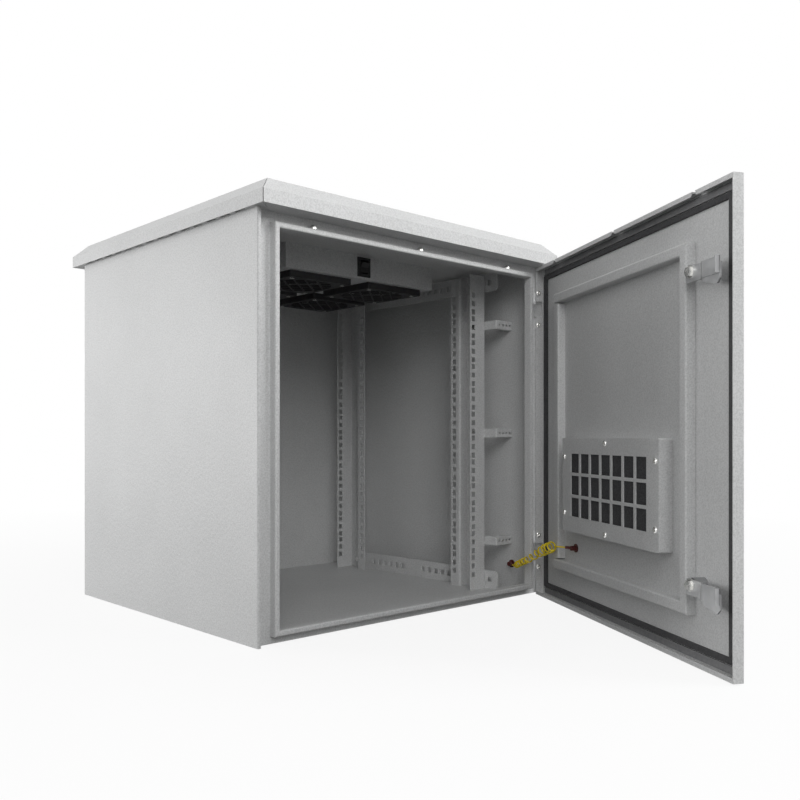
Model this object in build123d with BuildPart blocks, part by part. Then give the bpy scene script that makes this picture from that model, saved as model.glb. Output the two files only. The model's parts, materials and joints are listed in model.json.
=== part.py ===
"""Outdoor wall cabinet for 19 inch equipment, with its door standing open.

The origin is the centre of the base. X runs to the right, Y into the cabinet and Z up, in millimetres.
"""
import os
from math import cos, radians, sin, tan

from build123d import *

# Body
sheet = 1.5
bend = 2.5
front_lip = 5.0
rear_lip = 20.0
overrun = 5.0

# Rim and gutter round the door opening
rim_bottom_z = 11.0
rim_top_set = 17.0
rim_band = 8.4
gutter_width = 27.1
gutter_depth = 13.5
gutter_corner = 25.0
gutter_slant = 7.0

# Roof canopy
roof_side_overhang = 8.2
roof_front_overhang = 24.6
roof_back_overhang = 32.1
roof_lap = 2.3
roof_fascia = 19.0
roof_rise = 20.8
roof_slit = 1.0
vent_slot_count = 14
vent_slot_share = 0.67
vent_slot_width = 4.0

# Rack posts for 12 height units, which set the size of the body
rack_unit = 44.45
rack_unit_count = 12
rack_hole_offsets = (6.35, 22.225, 38.1)
rack_hole = 9.5
rack_hole_column = 232.55
rack_base_space = 23.9
rack_head_space = 42.7
rack_front = 101.9
rack_depth = 392.2
rack_rear_space = 66.9
post_inner_set = 8.55
post_flange_set = 12.45
post_outer_set = 32.45
wall_space = 45.7
post_web = 45.6
post_side_flange = 23.1
post_side_hole = 59.4
post_top_set = 11.0

# Depth bars between the posts
bar_sheet = 2.0
bar_height = 34.0
bar_reach = 31.0
bar_corner = 8.0
bar_hole = 10.0
bar_hole_pitch = 18.0
bar_group_count = 6
bar_group_gap = 150.0
bar_end_hole = 20.0
upper_bar_set = 40.0

# Brackets from the front posts to the side walls
bracket_height = 16.0
bracket_flange = 10.0
bracket_reach = 28.0
bracket_arm = 40.0
bracket_tab = 22.0
bracket_level_shares = (0.1533, 0.4895, 0.8275)
bracket_hole_radius = 2.5
bracket_hole_shares = (0.22, 0.43, 0.64, 0.85)

# Button head bolts of the rack
bolt_head_radius = 5.5
bolt_head = 3.5
bolt_set_back = 24.0

# Fan tray under the top panel
tray_side_margin = 22.5
tray_end_margin = 16.5
tray_height = 40.5
tray_x = 6.0
tray_set = 23.5
fan_gap_x = 47.0
fan_gap_y = 37.0
fan_size = 119.0
fan_height = 25.0
fan_wall = 3.5
fan_corner = 6.0
motor_radius = 20.0
motor_plate = 3.0
strut_width = 6.0
shaft_radius = 2.0
blade_tip_gap = 2.0
hub_radius = 19.0
hub_height = 17.0
hub_gap = 1.0
blade_count = 7
blade_chord = 26.0
blade_sheet = 2.0
blade_pitch = 32.0
blade_root = 3.0
grille_lap = 4.0
grille_height = 11.0
grille_plate = 2.0
grille_bar = 3.0
grille_bar_count = 5
grille_bar_share = 0.32
fan_screw_share = 0.88
fan_screw_radius = 4.0
fan_screw_head = 1.0

# Rocker switch on the front of the tray
switch_width = 27.0
switch_height = 33.0
switch_x = 4.0
switch_bezel = 3.0
switch_wall = 2.5
switch_body = 14.0
rocker_radius = 9.0
rocker_crown = 4.0
rocker_tilt = 9.0
switch_gap = 0.4
rocker_pin_radius = 1.5
rocker_pin = 1.5
rocker_pin_fit = 0.05

# Door, sized in its closed place and then swung open
door_side_gap = 14.7
door_bottom_z = 1.7
door_top_set = 8.3
flange_clearance = 3.4
fittings_x = 8.5
door_edge = 2.0
door_lip = 6.0
door_open = 60.3
rim_clearance = 0.4
notch_width = 15.0
notch_slope = 3.0

# Door gasket
gasket_sheet = 3.0
gasket_inner_lap = 4.5
gasket_outer_lap = 1.5
gasket_end_set = 4.0
gasket_end_width = 20.0

# Stiffening frame welded to the inside of the door
stiffener_side_set = 90.5
stiffener_end_set = 59.3
stiffener_width = 16.0
stiffener_gap = 3.0

# Filter cover, mat and vent on the door
filter_side_set = 52.5
filter_height = 152.0
filter_depth = 21.0
filter_level_share = 0.3505
filter_column_count = 7
filter_row_count = 3
filter_grid_share_x = 0.8075
filter_grid_share_z = 0.7007
filter_window_share_x = 0.8385
filter_window_share_z = 0.862
mat_sheet = 8.0
mat_margin = 10.0
filter_screw_radius = 4.0
filter_screw_head = 2.5
filter_screw_set = 8.0
filter_screw_share = 0.3013
louvre_count = 6
louvre_set = 33.0
louvre_gap = 8.0
louvre_pitch = 18.0
louvre_hood = 7.0

# Quarter turn locks with hooked cams
lock_side_set = 80.0
lock_level_shares = (0.1717, 0.8293)
lock_names = ("lower", "upper")
lock_radius = 9.0
lock_flange_radius = 13.0
lock_flange = 5.0
lock_plug_radius = 6.0
lock_clearance = 0.3
key_slot_width = 2.4
key_slot_length = 8.0
key_slot_depth = 4.0
cam_sheet = 2.5
cam_high = 7.0
cam_low = 13.0
cam_back = 9.0
cam_tip_set = 14.0
cam_joggle_start = 22.0
cam_joggle_end = 30.0
cam_clearance = 2.5
cam_rim_gap = 1.6
cam_hook = 5.0
cam_wing_root = 6.0
cam_wing_tip = 11.5
cam_wing_corner = 6.0
cam_wing_set = 1.0
cam_bolt_radius = 6.5
cam_washer_radius = 8.5
cam_washer = 1.5
cam_bolt_head = 4.0

# Hinges: a welded leaf in the gutter and a screwed leaf on the flange of the door
hinge_level_shares = (0.1327, 0.8751)
hinge_half_height = 33.0
hinge_out = 5.75
hinge_front = 2.1
hinge_plate = 2.5
hinge_web = 4.0
knuckle_radius = 4.0
knuckle_half = 12.5
door_knuckle = 8.0
knuckle_gap = 0.4
hinge_pin_radius = 2.0
hinge_pin_fit = 0.05
hinge_pin_play = 0.25
hinge_screw_drop = 29.0
hinge_screw_set = 10.5
hinge_screw_radius = 4.2
hinge_screw_head = 2.5
hinge_notch = 1.5
door_leaf = 2.0
door_leaf_depth = 11.5

# Button head bolts on top of the rim
rim_bolt_share = 0.7546
rim_bolt_set = 6.0
rim_bolt_radius = 4.5
rim_bolt_head = 6.0
rim_bolt_edge = 2.5

# Earth wire and its studs
earth_stud_radius = 4.0
earth_stud = 8.0
earth_washer_radius = 7.0
earth_washer = 2.0
cabinet_stud_y = 74.0
cabinet_stud_z = 46.0
door_stud_set = 142.5
door_stud_z = 102.0
lug_radius = 2.6
lug_length = 15.0
lug_height = 5.0
lug_lift = 35.0
lug_lead = 12.0
wire_radius = 1.6
coil_radius = 9.0
# Middle of the wire's route: space to the right wall, depth from the front plane, and height
wire_route = [
    (28.7, 41.0, 48.0),
    (41.2, 28.0, 53.0),
    (50.2, 10.0, 60.0),
    (56.7, -13.0, 69.0),
    (61.7, -36.0, 82.0),
    (74.7, -66.0, 94.0),
    (86.7, -89.0, 101.0),
]
wall_lead_count = 3
door_lead_count = 2
route_bend_share = 0.45

# Places worked out from the sizes above
post_inner_x = rack_hole_column - post_inner_set
post_flange_x = rack_hole_column + post_flange_set
post_outer_x = rack_hole_column + post_outer_set
inner_x = post_outer_x + wall_space
body_width = 2 * (inner_x + sheet)
body_depth = rack_front + rack_depth + rack_rear_space
body_height = rack_base_space + rack_unit_count * rack_unit + rack_head_space
front = -body_depth / 2
back = body_depth / 2
ceiling_z = body_height - sheet
rim_x = inner_x - gutter_width
opening_x = rim_x - rim_band
rim_top_z = body_height - rim_top_set
rim_mid_z = (rim_top_z + rim_bottom_z) / 2
rim_half_height = (rim_top_z - rim_bottom_z) / 2
reveal_depth = gutter_depth + sheet
rim_bolts_x = [place * rim_x * rim_bolt_share for place in (-1, 0, 1)]
roof_soffit_z = body_height - roof_lap
post_front = front + rack_front
rack_half_depth = rack_depth / 2
rack_centre_y = post_front + rack_half_depth
post_top_z = body_height - post_top_set
upper_bar_z = body_height - upper_bar_set
bracket_levels = [body_height * share for share in bracket_level_shares]
fan_bore = fan_size / 2 - fan_wall
fan_pitch_x = fan_size + fan_gap_x
fan_pitch_y = fan_size + fan_gap_y
tray_width = fan_pitch_x + fan_size + 2 * tray_side_margin
tray_depth = fan_pitch_y + fan_size + 2 * tray_end_margin
tray_y = tray_set
tray_z = ceiling_z - tray_height
door_inside = front - rim_clearance - gasket_sheet
door_outside = door_inside - sheet
door_rim_y = front + gutter_depth - flange_clearance
door_flange = door_rim_y - door_outside
door_half_width = inner_x - door_side_gap
door_top_z = body_height - door_top_set
door_mid_z = (door_bottom_z + door_top_z) / 2
door_half_height = (door_top_z - door_bottom_z) / 2
stiffener_depth = door_flange - sheet
stiffener_half_width = door_half_width - stiffener_side_set
stiffener_half_height = door_half_height - stiffener_end_set
filter_width = 2 * (stiffener_half_width - filter_side_set)
filter_centre_z = door_bottom_z + 2 * door_half_height * filter_level_share
filter_pitch_x = filter_width * filter_grid_share_x / filter_column_count
filter_pitch_z = filter_height * filter_grid_share_z / filter_row_count
louvre_length = filter_width - 2 * louvre_set
lock_x = door_half_width - lock_side_set
lock_levels = [door_bottom_z + 2 * door_half_height * share for share in lock_level_shares]
cam_root = door_inside + stiffener_depth + cam_clearance
cam_tip = lock_side_set - cam_tip_set
cam_joggle = front + reveal_depth + cam_rim_gap - cam_root
hinge_x = door_half_width + hinge_out
hinge_centre_y = door_outside - hinge_front
hinge_levels = [door_bottom_z + 2 * door_half_height * share for share in hinge_level_shares]
hinge_axis = Axis((hinge_x, hinge_centre_y, 0), (0, 0, 1))
plate_y = front + gutter_depth - hinge_plate
door_stud_x = door_half_width - door_stud_set
side_words = {-1: "left", 1: "right"}
end_words = {-1: "front", 1: "rear"}
os.makedirs("parts", exist_ok=True)


def finish(piece, name):
    """Label a finished piece and write it."""
    piece.part.label = name
    export_step(piece.part, f"parts/{name}.step")


def finish_open(piece, name):
    """Swing a piece of the door from its closed place to its open one, then write it."""
    piece.part = piece.part.rotate(hinge_axis, door_open)
    finish(piece, name)


def folded(points, side, thickness=sheet, radius=bend):
    """Edges of a folded strip of sheet whose outer face follows the points."""
    with BuildLine() as line:
        FilletPolyline(*points, radius=radius)
        offset(amount=thickness, side=side)
    return line.edges()


def rack_hole_heights():
    """Heights of the square holes of one column."""
    units = range(rack_unit_count)
    return [rack_base_space + unit * rack_unit + rise for unit in units for rise in rack_hole_offsets]


# Side panels, each with a lip at the front and one at the back
for hand in (-1, 1):
    outer = hand * body_width / 2
    side_points = [
        (outer - hand * front_lip, front),
        (outer, front),
        (outer, back),
        (outer - hand * rear_lip, back),
    ]
    with BuildPart() as side_panel:
        with BuildSketch():
            make_face(folded(side_points, Side.RIGHT if hand < 0 else Side.LEFT))
        extrude(amount=body_height)
    finish(side_panel, f"{side_words[hand]}_side_panel")

# Back panel in front of the rear lips
with BuildPart() as back_panel:
    with BuildSketch(Plane.XZ.offset(sheet - back)):
        with Locations((0, body_height / 2)):
            Rectangle(body_width - 2 * bend, body_height)
    extrude(amount=sheet)
finish(back_panel, "back_panel")

# Bottom and top panels between the side panels
panel_width = 2 * inner_x
floor_start = front + gutter_depth
with BuildPart() as bottom_panel:
    with BuildSketch():
        with Locations((0, floor_start)):
            Rectangle(panel_width, body_depth - gutter_depth - 2 * sheet, align=(Align.CENTER, Align.MIN))
    extrude(amount=sheet)
finish(bottom_panel, "bottom_panel")

with BuildPart() as top_panel:
    with BuildSketch(Plane.XY.offset(ceiling_z)):
        with Locations((0, front + bend)):
            Rectangle(panel_width, body_depth - bend - 2 * sheet, align=(Align.CENTER, Align.MIN))
    extrude(amount=sheet)
finish(top_panel, "top_panel")

# Rim rails at the sides: a square rim with its gutter, mitred at both ends
slant_x = inner_x - sheet * cos(radians(45))
for hand in (-1, 1):
    rail_points = [
        (hand * opening_x, front + reveal_depth),
        (hand * opening_x, front),
        (hand * rim_x, front),
        (hand * rim_x, front + gutter_depth),
        (hand * (slant_x - gutter_slant), front + gutter_depth),
        (hand * slant_x, front + gutter_depth - gutter_slant),
    ]
    rail_align = (Align.MIN if hand > 0 else Align.MAX, Align.CENTER)
    corner_height = gutter_corner - rim_bottom_z
    with BuildPart() as rim_side:
        with BuildSketch(Plane.XY.offset(rim_bottom_z)):
            make_face(folded(rail_points, Side.LEFT if hand > 0 else Side.RIGHT))
        extrude(amount=rim_top_z - rim_bottom_z)
        with BuildSketch(Plane.XZ.offset(overrun - front)):
            for up in (-1, 1):
                with BuildLine():
                    Polyline(
                        (hand * opening_x, rim_mid_z + up * (rim_half_height - rim_band)),
                        (hand * rim_x, rim_mid_z + up * rim_half_height),
                        (hand * (opening_x - overrun), rim_mid_z + up * rim_half_height),
                        (hand * (opening_x - overrun), rim_mid_z + up * (rim_half_height - rim_band)),
                        close=True,
                    )
                make_face()
                with Locations((hand * rim_x, rim_mid_z + up * (rim_half_height - corner_height / 2))):
                    Rectangle(inner_x - rim_x + overrun, corner_height, align=rail_align)
        extrude(amount=-(reveal_depth + 2 * overrun), mode=Mode.SUBTRACT)
    finish(rim_side, f"rim_{side_words[hand]}")

# Rim rails at the top and bottom, each with a gutter plate that fills the corners
for up, name, limit_z in ((-1, "rim_bottom", sheet), (1, "rim_top", ceiling_z)):
    rim_z = rim_mid_z + up * rim_half_height
    opening_z = rim_z - up * rim_band
    corner_z = rim_z - up * (gutter_corner - rim_bottom_z)
    rail_points = [
        (front + reveal_depth, opening_z),
        (front, opening_z),
        (front, rim_z),
        (front + gutter_depth, rim_z),
        (front + gutter_depth, limit_z),
    ]
    with BuildPart() as rim_end:
        with BuildSketch(Plane.YZ.offset(-rim_x)):
            make_face(folded(rail_points, Side.RIGHT if up > 0 else Side.LEFT))
        extrude(amount=2 * rim_x)
        with BuildSketch(Plane.XZ.offset(-front)):
            for hand in (-1, 1):
                with BuildLine():
                    Polyline(
                        (hand * opening_x, opening_z),
                        (hand * rim_x, rim_z),
                        (hand * (rim_x + overrun), rim_z),
                        (hand * (rim_x + overrun), opening_z - up * overrun),
                        (hand * opening_x, opening_z - up * overrun),
                        close=True,
                    )
                make_face()
        extrude(amount=-(reveal_depth + overrun), mode=Mode.SUBTRACT)
        with BuildSketch(Plane.XZ.offset(-front - gutter_depth)):
            for hand in (-1, 1):
                with Locations((hand * (rim_x + inner_x) / 2, (corner_z + limit_z) / 2)):
                    Rectangle(inner_x - rim_x, abs(limit_z - corner_z))
        extrude(amount=-sheet)
    finish(rim_end, name)

# Roof canopy: fascia, four slopes and a flat top, hollow, with vent slots in its soffit
roof_width = body_width + 2 * roof_side_overhang
roof_depth = body_depth + roof_front_overhang + roof_back_overhang
roof_y = (roof_back_overhang - roof_front_overhang) / 2
fascia_top_z = roof_soffit_z + roof_fascia
roof_top_z = fascia_top_z + roof_rise
slope_angle = 45
vent_slot_pitch = body_depth / (vent_slot_count + 1)
inner_wall_z = fascia_top_z - sheet * tan(radians(slope_angle / 2))
inner_rise = roof_top_z - sheet - inner_wall_z
hip = 2 * roof_rise / cos(radians(slope_angle))
with BuildPart() as roof_canopy:
    with BuildSketch(Plane.XY.offset(roof_soffit_z)):
        with Locations((0, roof_y)):
            Rectangle(roof_width, roof_depth)
    extrude(amount=roof_fascia)
    with BuildSketch(Plane.XY.offset(fascia_top_z)):
        with Locations((0, roof_y)):
            Rectangle(roof_width, roof_depth)
    extrude(amount=roof_rise, taper=slope_angle)
    with BuildSketch(Plane.XY.offset(roof_soffit_z + sheet)):
        with Locations((0, roof_y)):
            Rectangle(roof_width - 2 * sheet, roof_depth - 2 * sheet)
    extrude(amount=inner_wall_z - roof_soffit_z - sheet, mode=Mode.SUBTRACT)
    with BuildSketch(Plane.XY.offset(inner_wall_z)):
        with Locations((0, roof_y)):
            Rectangle(roof_width - 2 * sheet, roof_depth - 2 * sheet)
    extrude(amount=inner_rise, taper=slope_angle, mode=Mode.SUBTRACT)
    with BuildSketch(Plane.XY.offset(roof_soffit_z)):
        Rectangle(body_width, body_depth)
        with GridLocations(body_width + roof_side_overhang, vent_slot_pitch, 2, vent_slot_count):
            Rectangle(vent_slot_width, vent_slot_pitch * vent_slot_share)
    extrude(amount=sheet, mode=Mode.SUBTRACT)
    for across in (-1, 1):
        for along in (-1, 1):
            corner = (across * roof_width / 2, roof_y + along * roof_depth / 2)
            with BuildSketch(Plane.XY.offset(roof_soffit_z)):
                with Locations(corner):
                    Rectangle(hip, roof_slit, rotation=across * along * slope_angle)
            extrude(amount=roof_fascia + roof_rise, mode=Mode.SUBTRACT)
finish(roof_canopy, "roof_canopy")

# Button heads of the bolts on top of the rim
with BuildPart() as rim_bolts:
    with BuildSketch(Plane.XY.offset(rim_top_z)):
        with Locations(*[(place, front + rim_bolt_set) for place in rim_bolts_x]):
            Circle(rim_bolt_radius)
    extrude(amount=rim_bolt_head)
    fillet(rim_bolts.faces().group_by(Axis.Z)[-1].edges(), rim_bolt_edge)
finish(rim_bolts, "rim_bolts")

# Rack posts: a folded section with square holes in its front and side flanges
for hand in (-1, 1):
    for end in (-1, 1):
        post_face = rack_centre_y + end * rack_half_depth
        post_points = [
            (hand * post_inner_x, post_face),
            (hand * post_outer_x, post_face),
            (hand * post_outer_x, post_face - end * post_web),
            (hand * post_flange_x, post_face - end * post_web),
            (hand * post_flange_x, post_face - end * (post_web + post_side_flange)),
        ]
        with BuildPart() as post:
            with BuildSketch(Plane.XY.offset(sheet)):
                make_face(folded(post_points, Side.LEFT if hand * end < 0 else Side.RIGHT))
            extrude(amount=post_top_z - sheet)
            with BuildSketch(Plane.XZ.offset(-post_face)):
                with Locations(*[(hand * rack_hole_column, height) for height in rack_hole_heights()]):
                    Rectangle(rack_hole, rack_hole)
            extrude(amount=sheet * end, mode=Mode.SUBTRACT)
            with BuildSketch(Plane.YZ.offset(hand * post_flange_x)):
                with Locations(*[(post_face - end * post_side_hole, h) for h in rack_hole_heights()]):
                    Rectangle(rack_hole, rack_hole)
            extrude(amount=-hand * sheet, mode=Mode.SUBTRACT)
        finish(post, f"{end_words[end]}_{side_words[hand]}_post")

# Depth bars outside the posts, with groups of square holes and rounded ends
bar_length = 2 * (rack_half_depth + bar_reach)
bar_holes = [hand * (bar_length / 2 - bar_end_hole) for hand in (-1, 1)]
for hand in (-1, 1):
    first = hand * bar_group_gap / 2 - (bar_group_count - 1) * bar_hole_pitch / 2
    bar_holes += [first + index * bar_hole_pitch for index in range(bar_group_count)]
for hand in (-1, 1):
    for word, low_z in (("lower", sheet), ("upper", upper_bar_z)):
        with BuildPart() as bar:
            with BuildSketch(Plane.YZ.offset(hand * post_outer_x)):
                with Locations((rack_centre_y, low_z + bar_height / 2)):
                    RectangleRounded(bar_length, bar_height, bar_corner)
                    with Locations(*[(place, 0) for place in bar_holes]):
                        Rectangle(bar_hole, bar_hole, mode=Mode.SUBTRACT)
            extrude(amount=hand * bar_sheet)
        finish(bar, f"{word}_{side_words[hand]}_bar")

# Brackets from the front posts to the side walls, three on each side
bracket_face = post_front - bracket_reach
bracket_span = inner_x - post_outer_x
for hand in (-1, 1):
    bracket_points = [
        (hand * post_outer_x, post_front + bracket_arm),
        (hand * post_outer_x, bracket_face),
        (hand * inner_x, bracket_face),
        (hand * inner_x, bracket_face + bracket_tab),
    ]
    with BuildPart() as brackets:
        for level in bracket_levels:
            with BuildSketch(Plane.XY.offset(level - bracket_height / 2)):
                make_face(folded(bracket_points, Side.LEFT if hand > 0 else Side.RIGHT))
            extrude(amount=bracket_height)
            for flange_z in (level - bracket_height / 2, level + bracket_height / 2 - sheet):
                with BuildSketch(Plane.XY.offset(flange_z)):
                    with Locations((hand * (post_outer_x + inner_x) / 2, bracket_face + sheet)):
                        Rectangle(bracket_span - 2 * sheet, bracket_flange, align=(Align.CENTER, Align.MIN))
                extrude(amount=sheet)
            with BuildSketch(Plane.XZ.offset(-bracket_face)):
                places = [(hand * (post_outer_x + bracket_span * share), level) for share in bracket_hole_shares]
                with Locations(*places):
                    Circle(bracket_hole_radius)
            extrude(amount=-sheet, mode=Mode.SUBTRACT)
    finish(brackets, f"{side_words[hand]}_brackets")

# Button heads of the bolts that hold the bars and brackets to the posts
bolt_places = []
for end in (-1, 1):
    bolt_y = rack_centre_y + end * (rack_half_depth - bolt_set_back)
    bolt_places += [(bolt_y, sheet + bar_height / 2), (bolt_y, upper_bar_z + bar_height / 2 - bolt_head_radius)]
bolt_places += [(post_front + bolt_set_back, level) for level in bracket_levels]
with BuildPart() as rack_bolts:
    for hand in (-1, 1):
        with BuildSketch(Plane.YZ.offset(hand * (post_outer_x - sheet))):
            with Locations(*bolt_places):
                RegularPolygon(bolt_head_radius, 6)
        extrude(amount=-hand * bolt_head)
finish(rack_bolts, "rack_bolts")

# Fan tray: an open box under the top panel, with a round hole for each fan
fan_places = [
    (tray_x + across * fan_pitch_x / 2, tray_y + along * fan_pitch_y / 2)
    for along in (-1, 1)
    for across in (-1, 1)
]
with BuildPart() as fan_tray:
    with BuildSketch(Plane.XY.offset(tray_z)):
        with Locations((tray_x, tray_y)):
            Rectangle(tray_width, tray_depth)
    extrude(amount=tray_height)
    with BuildSketch(Plane.XY.offset(tray_z + sheet)):
        with Locations((tray_x, tray_y)):
            Rectangle(tray_width - 2 * sheet, tray_depth - 2 * sheet)
    extrude(amount=tray_height - sheet, mode=Mode.SUBTRACT)
    with BuildSketch(Plane.XY.offset(tray_z)):
        with Locations(*fan_places):
            Circle(fan_bore)
    extrude(amount=sheet, mode=Mode.SUBTRACT)
    tray_front = tray_y - tray_depth / 2
    switch_z = tray_z + tray_height / 2
    with BuildSketch(Plane.XZ.offset(-tray_front)):
        with Locations((switch_x, switch_z)):
            Rectangle(switch_width - 2 * switch_wall, switch_height - 2 * switch_wall)
    extrude(amount=-sheet, mode=Mode.SUBTRACT)
finish(fan_tray, "fan_tray")

# Axial fans: a square frame with a motor plate on four struts, and a bladed rotor on its shaft
fan_z = tray_z + sheet
motor_z = fan_z + fan_height - motor_plate
rotor_top_z = motor_z - hub_gap
for index, place in enumerate(fan_places, start=1):
    with BuildPart() as fan_frame:
        with BuildSketch(Plane.XY.offset(fan_z)):
            with Locations(place):
                RectangleRounded(fan_size, fan_size, fan_corner)
                Circle(fan_bore, mode=Mode.SUBTRACT)
        extrude(amount=fan_height)
        with BuildSketch(Plane.XY.offset(motor_z)):
            with Locations(place):
                Circle(motor_radius)
                Rectangle(2 * fan_bore + strut_width, strut_width, rotation=slope_angle)
                Rectangle(strut_width, 2 * fan_bore + strut_width, rotation=slope_angle)
        extrude(amount=motor_plate)
        with BuildSketch(Plane.XY.offset(motor_z)):
            with Locations(place):
                Circle(shaft_radius)
        extrude(amount=-hub_height)
    finish(fan_frame, f"fan_frame_{index}")

    blade_turns = [radians(360 / blade_count * turn) for turn in range(blade_count)]
    blade_planes = [
        Plane(
            origin=(
                place[0] + (hub_radius - blade_root) * cos(turn),
                place[1] + (hub_radius - blade_root) * sin(turn),
                rotor_top_z - hub_height / 2,
            ),
            x_dir=(-sin(turn), cos(turn), 0),
            z_dir=(cos(turn), sin(turn), 0),
        )
        for turn in blade_turns
    ]
    with BuildPart() as fan_rotor:
        with BuildSketch(Plane.XY.offset(rotor_top_z)):
            with Locations(place):
                Circle(hub_radius)
        extrude(amount=-hub_height)
        with BuildSketch(*blade_planes):
            Rectangle(blade_chord, blade_sheet, rotation=blade_pitch)
        extrude(amount=fan_bore - blade_tip_gap - hub_radius + blade_root)
        with BuildSketch(Plane.XY.offset(rotor_top_z)):
            with Locations(place):
                Circle(shaft_radius + switch_gap)
        extrude(amount=-hub_height, mode=Mode.SUBTRACT)
    finish(fan_rotor, f"fan_rotor_{index}")

# Grilles under the fans: a square frame with a round opening and crossed bars
grille_size = fan_size + 2 * grille_lap
bar_step = fan_bore * grille_bar_share
bar_offsets = [bar_step * (index - (grille_bar_count - 1) / 2) for index in range(grille_bar_count)]
bar_spans = [(place, 2 * (fan_bore**2 - place**2) ** 0.5 + grille_bar) for place in bar_offsets]
with BuildPart() as fan_grilles:
    with BuildSketch(Plane.XY.offset(tray_z)):
        with Locations(*fan_places):
            Rectangle(grille_size, grille_size)
            Circle(fan_bore, mode=Mode.SUBTRACT)
    extrude(amount=-grille_height)
    with BuildSketch(Plane.XY.offset(tray_z - grille_height)):
        for turn in (-slope_angle, slope_angle):
            for place, span in bar_spans:
                with Locations(*[Location((*fan, 0), turn) for fan in fan_places]):
                    with Locations((place, 0)):
                        Rectangle(grille_bar, span)
    extrude(amount=grille_plate)
finish(fan_grilles, "fan_grilles")

# Screws in the corners of the grilles
fan_screw_pitch = fan_size * fan_screw_share
with BuildPart() as fan_screws:
    with BuildSketch(Plane.XY.offset(tray_z - grille_height)):
        with Locations(*fan_places):
            with GridLocations(fan_screw_pitch, fan_screw_pitch, 2, 2):
                Circle(fan_screw_radius)
    extrude(amount=-fan_screw_head)
finish(fan_screws, "fan_screws")

# Rocker switch: a bezelled body and a rocker that tips about a pivot in it
rocker_width = switch_width - 4 * switch_wall
rocker_length = switch_height - 4 * switch_wall
rocker_plane = Plane(origin=(switch_x, tray_front, switch_z), x_dir=(0, -1, 0), z_dir=(1, 0, 0))
with BuildPart() as switch_housing:
    with BuildSketch(Plane.XZ.offset(-tray_front)):
        with Locations((switch_x, switch_z)):
            Rectangle(switch_width, switch_height)
    extrude(amount=switch_bezel)
    with BuildSketch(Plane.XZ.offset(-tray_front)):
        with Locations((switch_x, switch_z)):
            Rectangle(switch_width - 2 * switch_wall, switch_height - 2 * switch_wall)
    extrude(amount=-switch_body)
    with BuildSketch(Plane.XZ.offset(switch_bezel - tray_front)):
        with Locations((switch_x, switch_z)):
            Rectangle(rocker_width + 2 * switch_gap, rocker_length + 2 * switch_gap)
    extrude(amount=switch_wall - switch_bezel - switch_body, mode=Mode.SUBTRACT)
    with BuildSketch(rocker_plane.offset(-rocker_width / 2 - rocker_pin - switch_gap)):
        Circle(rocker_pin_radius + rocker_pin_fit)
    extrude(amount=rocker_width + 2 * (rocker_pin + switch_gap), mode=Mode.SUBTRACT)
finish(switch_housing, "switch_housing")

with BuildPart() as switch_rocker:
    with BuildSketch(rocker_plane.offset(-rocker_width / 2)):
        with BuildLine():
            Polyline(
                (-rocker_radius, 0),
                (switch_bezel, -rocker_length / 2 + switch_bezel),
                (switch_bezel + rocker_crown, -rocker_length / 2 + switch_bezel),
                (switch_bezel, 0),
                (switch_bezel + rocker_crown, rocker_length / 2 - switch_bezel),
                (switch_bezel, rocker_length / 2 - switch_bezel),
                close=True,
            )
        make_face()
    extrude(amount=rocker_width)
    with BuildSketch(rocker_plane.offset(-rocker_width / 2 - rocker_pin)):
        Circle(rocker_pin_radius)
    extrude(amount=rocker_width + 2 * rocker_pin)
switch_rocker.part = switch_rocker.part.rotate(Axis((0, tray_front, switch_z), (1, 0, 0)), rocker_tilt)
finish(switch_rocker, "switch_rocker")

# Door panel: a pan with lips at its top and bottom flanges
with BuildPart() as door_panel:
    with BuildSketch(Plane.XZ.offset(-door_outside)):
        with Locations((0, door_mid_z)):
            Rectangle(2 * door_half_width, 2 * door_half_height)
    extrude(amount=-door_flange)
    fillet(door_panel.faces().sort_by(Axis.Y)[0].edges(), door_edge)
    with BuildSketch(Plane.XZ.offset(-door_inside)):
        with Locations((0, door_mid_z)):
            Rectangle(2 * (door_half_width - sheet), 2 * (door_half_height - sheet))
    extrude(amount=sheet - door_flange, mode=Mode.SUBTRACT)
    with BuildSketch(Plane.XZ.offset(-door_rim_y)):
        for up in (-1, 1):
            with Locations((0, door_mid_z + up * (door_half_height - door_lip / 2))):
                Rectangle(2 * door_half_width, door_lip)
    extrude(amount=sheet)
    # Notches for the bolts on the rim
    with BuildSketch(Plane.XZ.offset(-door_rim_y)):
        for place in rim_bolts_x:
            with Locations((place, door_top_z - door_lip)):
                Trapezoid(notch_width + 2 * notch_slope, 2 * door_lip, 60, align=(Align.CENTER, Align.CENTER))
    extrude(amount=door_flange - sheet - door_edge, mode=Mode.SUBTRACT)
    # Openings in the hinge flange for the hinges
    with BuildSketch(Plane.YZ.offset(door_half_width)):
        for level in hinge_levels:
            with Locations((door_rim_y, level)):
                Rectangle(
                    door_flange - sheet - door_edge,
                    2 * (knuckle_half + hinge_notch),
                    align=(Align.MAX, Align.CENTER),
                )
    extrude(amount=-sheet, mode=Mode.SUBTRACT)
    # Louvre gaps behind the filter, and holes for the locks
    with BuildSketch(Plane.XZ.offset(-door_inside)):
        with Locations((fittings_x, filter_centre_z)):
            with GridLocations(0, louvre_pitch, 1, louvre_count):
                Rectangle(louvre_length, louvre_gap)
        with Locations(*[(-lock_x, level) for level in lock_levels]):
            Circle(lock_radius + lock_clearance)
    extrude(amount=sheet, mode=Mode.SUBTRACT)
finish_open(door_panel, "door_panel")

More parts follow.
